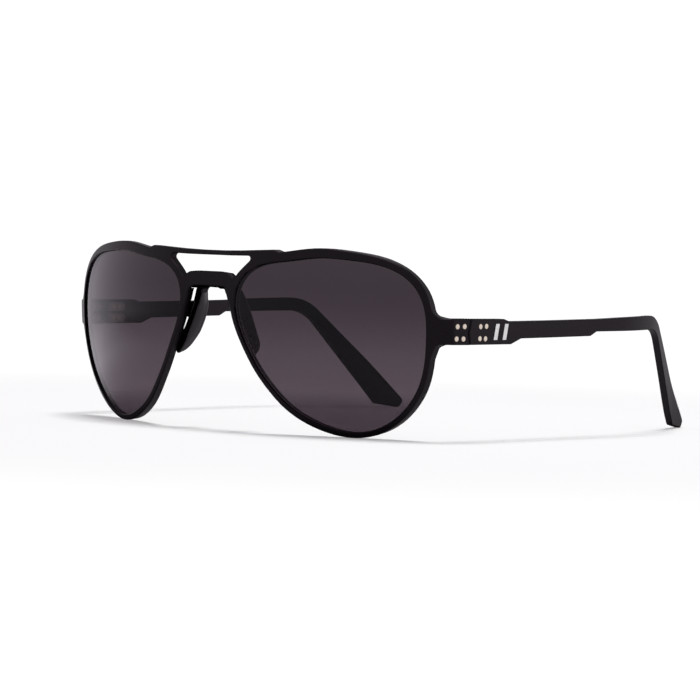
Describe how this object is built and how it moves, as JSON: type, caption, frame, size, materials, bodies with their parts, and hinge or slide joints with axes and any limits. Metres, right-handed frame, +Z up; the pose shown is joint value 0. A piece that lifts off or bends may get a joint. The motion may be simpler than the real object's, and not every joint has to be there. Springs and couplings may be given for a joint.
{
  "type": "aviator sunglasses",
  "caption": "Aviator sunglasses with a one-piece metal front, curved smoke lenses, a saddle nose piece and folding temples on riveted hinges.",
  "frame": {"origin": "middle of the bottom of the bounding box: on the mirror plane, on the plane the open sunglasses rest on, half way from the front to the temple tips", "axes": "+Z up, the lenses face -Y and the open temples run towards +Y, +X is the wearer's left"},
  "size_m": [0.1412, 0.151, 0.0507],
  "materials": {
    "black_aluminium": "matte black anodised",
    "smoke_lens": "smoke grey, polished",
    "nose_rubber": "soft black rubber, satin",
    "hinge_steel": "polished",
    "rivet_steel": "polished head",
    "white_mark": "white enamel"
  },
  "bodies": {
    "front": {"front_frame": "black_aluminium", "lens_left": "smoke_lens", "lens_right": "smoke_lens", "nose_piece": "nose_rubber", "front_rivets_left": "rivet_steel", "front_hinge_leaf_upper_left": "hinge_steel", "front_hinge_leaf_lower_left": "hinge_steel", "hinge_screw_upper_left": "hinge_steel", "hinge_screw_lower_left": "hinge_steel", "front_rivets_right": "rivet_steel", "front_hinge_leaf_upper_right": "hinge_steel", "front_hinge_leaf_lower_right": "hinge_steel", "hinge_screw_upper_right": "hinge_steel", "hinge_screw_lower_right": "hinge_steel"},
    "left_temple": {"temple_left": "black_aluminium", "temple_rivets_left": "rivet_steel", "temple_mark_left": "white_mark", "temple_hinge_leaf_upper_left": "hinge_steel", "temple_hinge_leaf_lower_left": "hinge_steel"},
    "right_temple": {"temple_right": "black_aluminium", "temple_rivets_right": "rivet_steel", "temple_mark_right": "white_mark", "temple_hinge_leaf_upper_right": "hinge_steel", "temple_hinge_leaf_lower_right": "hinge_steel"}
  },
  "joints": [
    {"name": "left_temple_fold", "type": "hinge", "parent": "front", "child": "left_temple", "pos_m": [0.06445, -0.04684, 0.02943], "axis": [0, 0, 1], "range_deg": [0, 88]},
    {"name": "right_temple_fold", "type": "hinge", "parent": "front", "child": "right_temple", "pos_m": [-0.06445, -0.04684, 0.02943], "axis": [0, 0, -1], "range_deg": [0, 80]}
  ]
}
